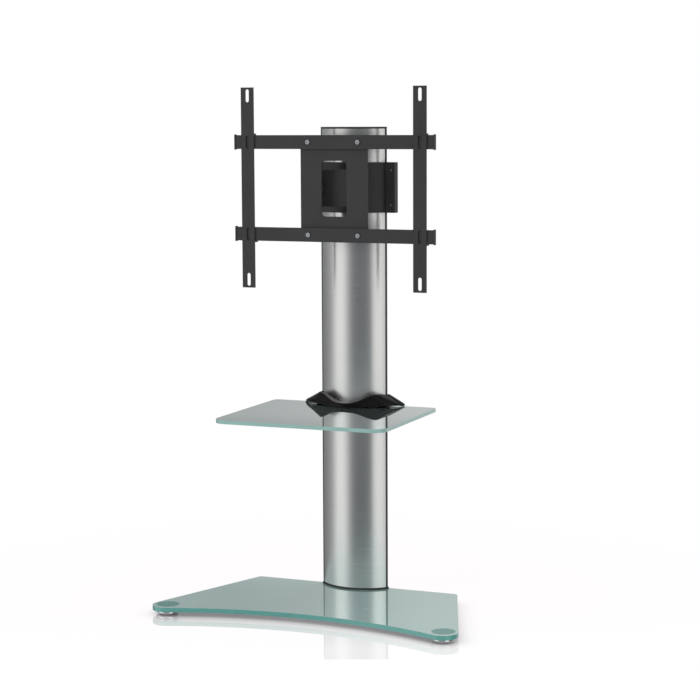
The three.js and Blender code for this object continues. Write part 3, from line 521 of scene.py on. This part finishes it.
# %% Front feet
BOWL_FOOT, BOWL_RIM, BOWL_LOW, BOWL_WIDEST = 19.0, 25.0, 1.0, 5.5
FLANK_STEPS, FOOT_STEPS = 12, 96
flank = [(BOWL_FOOT + (BOWL_RIM - BOWL_FOOT) * sin(turn), BOWL_WIDEST
          - (BOWL_WIDEST - BOWL_LOW) * cos(turn))
         for turn in (pi / 2 * step / FLANK_STEPS for step in range(FLANK_STEPS + 1))]
LIP = [(25.0, 6.9), (24.8, 7.35), (24.3, 7.6), (23.2, 7.6), (22.7, 7.35), (22.5, 6.9)]
WELL = [(22.5, 5.5), (21.6, 4.3), (19.5, 3.3), (16.5, 2.8), (12.8, 2.8), (12.4, 3.2)]
HUB = [(12.4, 6.5), (12.1, 6.8), (9.7, 6.8), (9.4, 6.5), (9.4, 3.2), (9.0, 2.8), (0, 2.8)]
BOWL = [(0, BOWL_LOW)] + flank + LIP + WELL + HUB
PAD = [(0, 0), (16.6, 0), (17, 0.3), (17, 0.8), (16.8, 1.0), (0, 1.0)]
PLATE = [(0, 3.5), (8.6, 3.5), (9, 3.9), (9, 7.7), (9.3, 8), (25.1, 8), (25.5, 8.3),
         (25.5, 10), (0, 10)]
for side in ("left", "right"):
    for node, outline, finish in (
            ("front_foot_", BOWL, "chrome"), ("front_foot_pad_", PAD, "rubber"),
            ("front_foot_plate_", PLATE, "zinc")):
        foot = turned(outline, middle(node + side), FOOT_STEPS)
        settle(foot, node + side, finish)
print("bowl outline points:", len(BOWL))

# %% [markdown]
# The two rear feet are plain moulded discs on a stud. Their rim has shallow finger grips,
# so that the foot can be turned by hand. The grips are a radial move of the rim's points,
# which is quicker here than cutting each one with a boolean.

# %% Rear feet
GRIPS, GRIP_DEPTH, GRIP_LOW, GRIP_HIGH = 12, 0.05, 0.4, 4.5
GRIP_CORE = 4.5 * MM


def gripped(mesh, centre, low, high, grips, depth):
    """Draw the rim's points in, between the heights, in an even row of shallow waves."""
    for point in mesh.verts:
        out = point.co - Vector(centre)
        out.z = 0
        if low * MM < point.co.z < high * MM and out.length > GRIP_CORE:
            wave = 0.5 - 0.5 * cos(grips * out.angle(Vector((1, 0, 0)), 0.0))
            point.co -= out * wave * depth


REAR_FOOT = [(0, 0), (11.2, 0), (12, 0.5), (12, 1.0), (12, 3.8), (11.6, 4.3), (11, 4.6),
             (4.4, 4.6), (3.8, 4.9), (3.8, 16.7), (3.5, 17), (0, 17)]
for side in ("left", "right"):
    centre = middle("rear_foot_" + side)
    foot = turned(REAR_FOOT, centre, FOOT_STEPS)
    gripped(foot, centre, GRIP_LOW, GRIP_HIGH, GRIPS, GRIP_DEPTH)
    settle(foot, "rear_foot_" + side, "black_plastic")
print("rear foot grips:", GRIPS)

# %% [markdown]
# ## Screws
# All screws are cap screws with a hexagon socket. The head starts as a cylinder. Its end
# face is inset, and the new ring's points are moved onto a hexagon: with 24 sides, every
# fourth point is a corner. The hexagon is then pushed in as the socket, the other end is
# drawn out as the shank, and the sharp rims are broken. The sizes are read from the packed
# node, so each screw fills exactly the room that it has.

# %% A cap screw
SCREW_SIDES = 24
SOCKET_SHARE, SOCKET_DEPTH = 0.56, 0.62
FIRST_INSET, CHAMFER, CHAMFER_SHARE = 0.1 * MM, 0.5 * MM, 0.15
RIM_ANGLE, END_ON = radians(60), 0.9


def screw_sizes(node, axis):
    """Head and shank radius, and where head, shoulder and tip are along the axis."""
    low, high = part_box(node)
    along = "XYZ".index(axis)
    centre = Vector(middle(node, axis))
    radii = {}
    for point in frame["nodes"][node].data.vertices:
        out = point.co - centre
        level = round(out[along] / MM, 1)
        out[along] = 0
        radii.setdefault(level, []).append(out.length)
    first, step, last = sorted(radii)
    if max(radii[first]) > max(radii[last]):
        return max(radii[first]), max(radii[last]), first * MM, step * MM, last * MM
    return max(radii[last]), max(radii[first]), last * MM, step * MM, first * MM


def push(mesh, face, distance):
    """Extrude one face along its own direction and give back the new end face."""
    direction = face.normal.copy()
    end = bmesh.ops.extrude_discrete_faces(mesh, faces=[face])["faces"][0]
    bmesh.ops.translate(mesh, verts=end.verts, vec=direction * distance)
    end.normal_update()
    return end


def reshape_ring(mesh, face, radius_at):
    """Inset a round face, then put each point of the new ring at its own radius."""
    bmesh.ops.inset_region(mesh, faces=[face], thickness=FIRST_INSET, use_even_offset=True)
    for number, loop in enumerate(face.loops):
        out = Vector((loop.vert.co.x, loop.vert.co.y, 0))
        reach = radius_at(number) / out.length
        loop.vert.co.x, loop.vert.co.y = out.x * reach, out.y * reach


def hexagon(radius):
    """Radius to the sides of a hexagon, for each of the screw's points in turn."""
    every = SCREW_SIDES // 6
    turn = 2 * pi / SCREW_SIDES
    return lambda number: radius * cos(pi / 6) / cos(number % every * turn - pi / 6)


def cap_screw(node, axis):
    head, shank, face_at, shoulder, tip = screw_sizes(node, axis)
    deep = abs(shoulder - face_at)
    mesh = bmesh.new()
    bmesh.ops.create_cone(
        mesh, cap_ends=True, segments=SCREW_SIDES, radius1=head, radius2=head, depth=deep)
    bottom, top = sorted((f for f in mesh.faces if abs(f.normal.z) > END_ON),
                         key=lambda f: f.normal.z)
    reshape_ring(mesh, bottom, lambda number: shank)
    push(mesh, bottom, abs(tip - shoulder))
    rims = [e for e in sharp_edges(mesh, RIM_ANGLE) if e.verts[0].co.length > shank]
    reshape_ring(mesh, top, hexagon(head * SOCKET_SHARE))
    push(mesh, top, -deep * SOCKET_DEPTH)
    soften(mesh, rims, min(CHAMFER, deep * CHAMFER_SHARE))
    if tip > face_at:
        bmesh.ops.rotate(mesh, verts=mesh.verts, cent=(0, 0, 0),
                         matrix=Matrix.Rotation(pi, 3, "X"))
    up = (face_at + shoulder) / 2
    bmesh.ops.translate(mesh, verts=mesh.verts, vec=(0, 0, up))
    lay(mesh, axis, middle(node, axis))
    settle(mesh, node, "zinc")


SCREWS = {"base_screw_": "Z", "collar_screw_": "Z", "shelf_clamp_screw_": "Y",
          "carriage_screw_": "Y", "rail_bolt_": "Y", "tilt_bolt_": "X"}
for series, axis in SCREWS.items():
    row = sorted(name for name in frame["nodes"] if name.startswith(series))
    for node in row:
        cap_screw(node, axis)
    print(series + "n:", len(row))

# %% [markdown]
# ## Pin, washers, nut and lock screws
# The swivel pin has the same shape as a large cap screw. Washers are rings, so their
# outline doesn't touch the axis. The two lock screws below the arms are turned by finger,
# so their heads are fluted in the same way as the rear feet, only closer and deeper.

# %% Turned parts of the head
WASHERS = {"swivel_washer_": ("Z", 6.3, 11.5), "tilt_washer_": ("X", 4.3, 9.0)}
WASHER_EDGE = 0.2


def washer(node, axis, bore, rim):
    low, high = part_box(node)
    along = "XYZ".index(axis)
    first, last = low[along] / MM, high[along] / MM
    edge = (last - first) * WASHER_EDGE
    outline = [(bore, first), (rim - edge, first), (rim, first + edge), (rim, last - edge),
               (rim - edge, last), (bore, last)]
    settle(turned(outline, middle(node, axis), axis=axis), node, "black_plastic")


KNOB, KNOB_SHANK, KNOB_LOW, KNOB_HIGH, SHANK_TOP = 6.0, 2.5, 793.6, 799.6, 812.0
LOCK = [(0, KNOB_LOW + 0.5), (3.6, KNOB_LOW + 0.4), (4.2, KNOB_LOW), (5.4, KNOB_LOW),
        (KNOB, KNOB_LOW + 0.6), (KNOB, KNOB_LOW + 2.0), (KNOB, KNOB_HIGH - 0.9),
        (KNOB - 0.7, KNOB_HIGH), (KNOB_SHANK, KNOB_HIGH), (KNOB_SHANK, SHANK_TOP),
        (0, SHANK_TOP)]
FLUTES, FLUTE_POINTS, FLUTE_DEPTH = 14, 8, 0.13
FLUTE_LOW, FLUTE_HIGH = KNOB_LOW + 0.5, KNOB_HIGH - 0.4
cap_screw("swivel_pin", "Z")
dress("swivel_nut", "zinc", 0.5, FLAT_SEGMENTS)
for number in "12":
    for series, sizes in WASHERS.items():
        washer(series + number, *sizes)
for side in ("left", "right"):
    centre = middle("arm_lock_" + side)
    lock = turned(LOCK, centre, FLUTES * FLUTE_POINTS)
    gripped(lock, centre, FLUTE_LOW, FLUTE_HIGH, FLUTES, FLUTE_DEPTH)
    settle(lock, "arm_lock_" + side, "black_plastic")
print("flutes:", FLUTES)

# %% [markdown]
# ## Steel parts of the mounting head
# The clamp rings, yoke, plate, rails and arms are cut or pressed from steel and powder
# coated. The coating rounds every edge a little, so each gets a bevel that suits its
# thickness. Small rubber pads and end caps are moulded, so their edges are rounder still.

# %% Head, bracket and arms
STEEL = {"shelf_bracket": 0.8, "shelf_clamp": 0.8, "carriage": 0.8, "carriage_clamp": 0.8,
         "yoke": 0.7, "tilt_plate": 0.5, "rail_upper": 0.5, "rail_lower": 0.5,
         "arm_left": 0.5, "arm_right": 0.5}
for node, width in STEEL.items():
    dress(node, "black_steel", width)
for number in "1234":
    dress("rail_cap_" + number, "black_plastic", 0.7)
for number in "12":
    dress("shelf_pad_" + number, "rubber", 0.3, FLAT_SEGMENTS)
print("steel parts:", len(STEEL))

# %% [markdown]
# ## The collar
# The collar is moulded in two halves that meet behind the column, and its top is a soft
# saddle between the ridge and the column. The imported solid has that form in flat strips.
# Subdividing it would pull in the screw holes and the arches, so it is remeshed into
# small even squares and smoothed a few times, which rounds strips and edges by the same
# small radius, as a polished moulding has. Its two arches are lowered first, because the
# light that they let through is a narrow patch.

# %% Collar halves
COLLAR_VOXEL, COLLAR_PASSES, COLLAR_POLISH = 1.2 * MM, 9, 0.5
ARCH_TOP, ARCH_SHARE = 7.2 * MM, 0.45


def lower_arches(mesh):
    """Bring the points under the wings nearer to the sole, and count them."""
    sole = min(point.co.z for point in mesh.verts)
    under = {point for face in mesh.faces if face.normal.z < 0 for point in face.verts}
    arches = [point for point in under if WELD < point.co.z - sole < ARCH_TOP]
    for point in arches:
        point.co.z = sole + (point.co.z - sole) * ARCH_SHARE
    return len(arches)


for node in ("collar_front", "collar_rear"):
    mesh = cad_copy(node)
    print(node, "arch corners lowered:", lower_arches(mesh))
    half = settle(mesh, node, "gloss_black")
    half.modifiers.clear()
    squares = half.modifiers.new("even_squares", "REMESH")
    squares.mode = "VOXEL"
    squares.voxel_size = COLLAR_VOXEL
    squares.use_smooth_shade = True
    polish = half.modifiers.new("polishing", "SMOOTH")
    polish.factor = COLLAR_POLISH
    polish.iterations = COLLAR_PASSES

# %% [markdown]
# ## The studio
# The stand is on a white floor in front of a white sweep. Rays that go to the camera, to
# gloss and through glass see pure white there. What the metal shows beside it is a ring
# of cards round the set: white panels where a photographer puts soft boxes, and grey and
# black cards between them, which draw the upright bands on the column. Only gloss sees
# the ring, so it neither lights nor shades anything.

# %% World
DAYLIGHT = 0.62
WHITE = (1.0, 1.0, 1.0, 1.0)


def studio_world():
    world = bpy.data.worlds.new("studio")
    bpy.context.scene.world = world
    f = Finish("studio", world)
    rays = [f.node("ShaderNodeLightPath", out="Is %s Ray" % kind)
            for kind in ("Camera", "Glossy", "Transmission")]
    seen = rays[0].larger(rays[1]).larger(rays[2])
    white = f.node("ShaderNodeBackground", None, {"Color": WHITE, "Strength": 1.0})
    soft = f.node("ShaderNodeBackground", None, {"Color": WHITE, "Strength": DAYLIGHT})
    f.node("ShaderNodeOutputWorld", None, {"Surface": f.mixed(seen, soft, white)})


studio_world()
print("diffuse light:", DAYLIGHT)

# %% [markdown]
# The ring is a wide open drum with a lid. The grey of its cards is a ramp over the turn
# round the set, in degrees from straight ahead. Behind the set the cards are a little
# paler low down, where the shelf sees them, than higher up, where the base does. At both
# sides they are pale above table height, for the glass when the stand is seen side on,
# and in front they are a little paler there, for the column's image in the glass.

# %% Cards round the set
RING_RADIUS, RING_HALF_HEIGHT, RING_SIDES = 6.0, 6.0, 96
RING_CARDS = [
    (-180, 0.48), (-162, 0.46), (-152, 0.30), (-125, 0.20), (-100, 0.25), (-86, 0.33),
    (-76, 0.43), (-66, 0.66), (-57, 0.90), (-46, 0.94), (-38, 0.90), (-30, 0.68),
    (-21, 0.40), (-12, 0.22), (0, 0.155), (16, 0.15), (27, 0.18), (34, 0.26), (42, 0.72),
    (48, 0.88), (66, 0.90), (72, 0.60), (76, 0.10), (84, 0.08), (115, 0.14), (145, 0.42),
    (180, 0.48),
]
CARD_SHADE, CARD_WHITE = (0.0, 0.008, 0.018), (1.0, 0.995, 0.975)
LID_GREY, LID_HEIGHT = (0.40, 0.40, 0.40), 0.998 * RING_HALF_HEIGHT
BEHIND_FROM, BEHIND_TO, FRONT_FROM, FRONT_TO = 3.5, 4.5, -1.5, -2.5
SIDE_END, SIDE_GONE = 2.0, 3.5
LOW_CARD_FADE, LOW_CARD_WHITE = (1.34, 1.42), 0.14
HIGH_CARD_FADE, HIGH_CARD, HIGH_FRONT_WHITE = (1.2, 1.35), (0.47, 0.48, 0.475), 0.17


def stage_piece(mesh, name, material):
    data = bpy.data.meshes.new(name)
    mesh.to_mesh(data)
    mesh.free()
    data.materials.append(material)
    made = bpy.data.objects.new(name, data)
    bpy.context.scene.collection.objects.link(made)
    return made


def card_finish():
    f = Finish("cards")
    x, y, z = [f.axis(f.place(), letter) for letter in "XYZ"]
    turn = f.node("ShaderNodeMath", {"operation": "ARCTAN2"}, {0: x, 1: 0.0 - y})
    stops = [((angle + 180) / 360, level) for angle, level in RING_CARDS]
    level = f.ramp(f.range(turn, -pi, pi, 0.0, 1.0), stops)
    colour = f.blend(level, CARD_SHADE, CARD_WHITE)
    low = f.range(z, *LOW_CARD_FADE, LOW_CARD_WHITE, 0.0)
    behind = f.range(y, BEHIND_FROM, BEHIND_TO, 0.0, 1.0)
    colour = f.blend(low * behind, colour, WHITE)
    not_ahead = f.range(y, FRONT_TO, FRONT_FROM, 0.0, 1.0)
    beside = not_ahead * f.range(y, SIDE_END, SIDE_GONE, 1.0, 0.0)
    high = f.range(z, *HIGH_CARD_FADE, 0.0, 1.0)
    colour = f.blend(beside * high, colour, HIGH_CARD)
    ahead = f.range(y, FRONT_TO, FRONT_FROM, HIGH_FRONT_WHITE, 0.0)
    colour = f.blend(ahead * high, colour, WHITE)
    colour = f.blend(z.above(LID_HEIGHT), colour, LID_GREY)
    cards = f.node("ShaderNodeEmission", None, {"Color": colour, "Strength": 1.0})
    clear = f.node("ShaderNodeBsdfTransparent")
    mirrored = f.node("ShaderNodeLightPath", out="Is Singular Ray")
    return f.finish(f.mixed(mirrored, cards, clear))


def card_ring():
    mesh = bmesh.new()
    bmesh.ops.create_circle(mesh, cap_ends=False, radius=RING_RADIUS, segments=RING_SIDES)
    made = bmesh.ops.extrude_edge_only(mesh, edges=mesh.edges)["geom"]
    tall = [v for v in made if isinstance(v, bmesh.types.BMVert)]
    bmesh.ops.translate(mesh, verts=tall, vec=(0, 0, 2 * RING_HALF_HEIGHT))
    bmesh.ops.contextual_create(mesh, geom=tall)
    bmesh.ops.translate(mesh, verts=mesh.verts, vec=(0, 0, -RING_HALF_HEIGHT))
    ring = stage_piece(mesh, "card_ring", card_finish())
    for ray in ("camera", "diffuse", "transmission", "volume_scatter", "shadow"):
        setattr(ring, "visible_" + ray, False)


card_ring()
print("cards round the set:", len(RING_CARDS))

# %% [markdown]
# The floor is a white sheet with a faint polish. Near the stand it is partly a real
# surface that takes the shadow, and it fades into pure white further out. Its white is
# also darkened close round the stand by an ambient occlusion node: a painted contact
# shadow. Its gloss ends along a line in front of the base, where the picture's reflection
# ends too, and it shows only where the floor is seen at a low angle. What shines on the
# stand sees the floor only right beside it, and past that the ring of cards, as in a
# studio where the sheet ends close to the set.

# %% Floor
FLOOR_HALF = 12.0
NEAR_FLOOR, FAR_FLOOR = 0.5, 1.2
PAPER, PAPER_SHARE = (0.97, 0.965, 0.975, 1.0), 0.06
# reach, rays and colour of the painted contact shadow round the stand
CONTACT_REACH, CONTACT_RAYS, PAINTED_CONTACT_SHADE = 0.05, 12, (0.09, 0.085, 0.09)
POLISH, LOW_ANGLE = (1.0, 0.955, 0.975, 1.0), (0.3, 0.7)
GLOSS_LINE, GLOSS_FADE = (-0.379, 0.925, 0.0), (-0.388, -0.38)
FAR_GLOSS, NEAR_GLOSS, NEAR_GLOSS_AT = 0.52, 0.20, -0.30
CLOSE_GLOSS = 0.012


def floor_finish():
    f = Finish("floor_sheet")
    away = f.node("ShaderNodeVectorMath", {"operation": "LENGTH"}, {0: f.place()}, "Value")
    near = f.range(away, NEAR_FLOOR, FAR_FLOOR, 1.0, 0.0)
    # painted shade: ambient occlusion darkens the white that camera and gloss see near the
    # stand
    painted_shade_mask = f.node("ShaderNodeAmbientOcclusion", {"samples": CONTACT_RAYS},
                     {"Distance": CONTACT_REACH}, "AO")
    tone = f.blend(painted_shade_mask, PAINTED_CONTACT_SHADE, WHITE)
    # the floor's white emission, with the painted contact shadow in it
    white = f.node("ShaderNodeEmission", None, {"Color": tone, "Strength": 1.0})
    paper = f.node("ShaderNodeBsdfDiffuse", None, {"Color": PAPER})
    shaded = f.mixed(near * PAPER_SHARE, white, paper)
    polish = f.node("ShaderNodeBsdfGlossy", None, {"Color": POLISH, "Roughness": 0.0})
    depth = f.node("ShaderNodeVectorMath", {"operation": "DOT_PRODUCT"},
                   {0: f.place(), 1: GLOSS_LINE}, "Value")
    low_angle = f.range(f.slant(), *LOW_ANGLE, 0.0, 1.0)
    cut = f.range(depth, *GLOSS_FADE, 0.0, 1.0)
    gloss = f.range(depth, NEAR_GLOSS_AT, 0.0, NEAR_GLOSS, FAR_GLOSS) * cut * near * low_angle
    sheet = f.mixed(gloss, shaded, polish)
    glossy = f.node("ShaderNodeLightPath", out="Is Glossy Ray")
    travelled = f.node("ShaderNodeLightPath", out="Ray Length")
    clear = f.node("ShaderNodeBsdfTransparent")
    seen = f.mixed(glossy * travelled.above(CLOSE_GLOSS), sheet, clear)
    bounced = f.node("ShaderNodeLightPath", out="Is Diffuse Ray")
    return f.finish(f.mixed(bounced, seen, paper))


sheet = bmesh.new()
bmesh.ops.create_grid(sheet, x_segments=1, y_segments=1, size=FLOOR_HALF)
stage_piece(sheet, "floor", floor_finish())
print("floor, m:", 2 * FLOOR_HALF)

# %% [markdown]
# Three large soft boxes light the stand from the front left, the right and above. They
# are not seen in reflections, because the ring already holds their images.

# %% Lamps
AIM = Vector((0, 0, 0.45))
LAMPS = {
    "key_box": ((-3.0, -4.0, 3.2), (2.4, 2.4), 150.0),
    "fill_box": ((3.6, -2.4, 2.4), (2.0, 2.6), 60.0),
    "top_box": ((0.4, 0.6, 4.0), (3.0, 3.0), 60.0),
}
for name, (place, size, watts) in LAMPS.items():
    light = bpy.data.lights.new(name, "AREA")
    light.shape = "RECTANGLE"
    light.size, light.size_y = size
    light.energy = watts
    lamp = bpy.data.objects.new(name, light)
    bpy.context.scene.collection.objects.link(lamp)
    lamp.location = place
    lamp.rotation_euler = (AIM - Vector(place)).to_track_quat("-Z", "Y").to_euler()
    lamp.visible_glossy = False
print("lamps:", list(LAMPS))

# %% [markdown]
# ## The camera
# The camera's place was worked out from the outline of the glass and the column in the
# picture: it stands 4.2 m off, to the right of the stand, about as high as the column's
# top, and looks slightly down. The lens needs no shift.

# %% Camera
CAMERA_PLACE = Vector((1638.9, -3854.2, 1069.1)) * MM
CAMERA_TURN, CAMERA_DROP, CAMERA_ROLL = radians(22.32), radians(6.74), radians(-0.26)
PIXELS_PER_FOCAL, FRAME_PIXELS, SENSOR = 1963.02, 700, 36.0


def photo_camera():
    lens = bpy.data.cameras.new("camera")
    lens.sensor_width = SENSOR
    lens.lens = SENSOR * PIXELS_PER_FOCAL / FRAME_PIXELS
    camera = bpy.data.objects.new("camera", lens)
    bpy.context.scene.collection.objects.link(camera)
    ahead = Vector((-sin(CAMERA_TURN) * cos(CAMERA_DROP),
                    cos(CAMERA_TURN) * cos(CAMERA_DROP), -sin(CAMERA_DROP)))
    level = Vector((cos(CAMERA_TURN), sin(CAMERA_TURN), 0))
    upright = level.cross(ahead)
    right = level * cos(CAMERA_ROLL) + upright * sin(CAMERA_ROLL)
    up = right.cross(ahead)
    turn = Matrix((right, up, -ahead)).transposed()
    camera.matrix_world = Matrix.Translation(CAMERA_PLACE) @ turn.to_4x4()
    bpy.context.scene.camera = camera


photo_camera()
bpy.context.scene.view_settings.view_transform = "Standard"
print("lens, mm:", round(bpy.context.scene.camera.data.lens, 2))

# %% [markdown]
# ## Closing
# The view layer is brought up to date at the end.

# %% Close
bpy.context.view_layer.update()
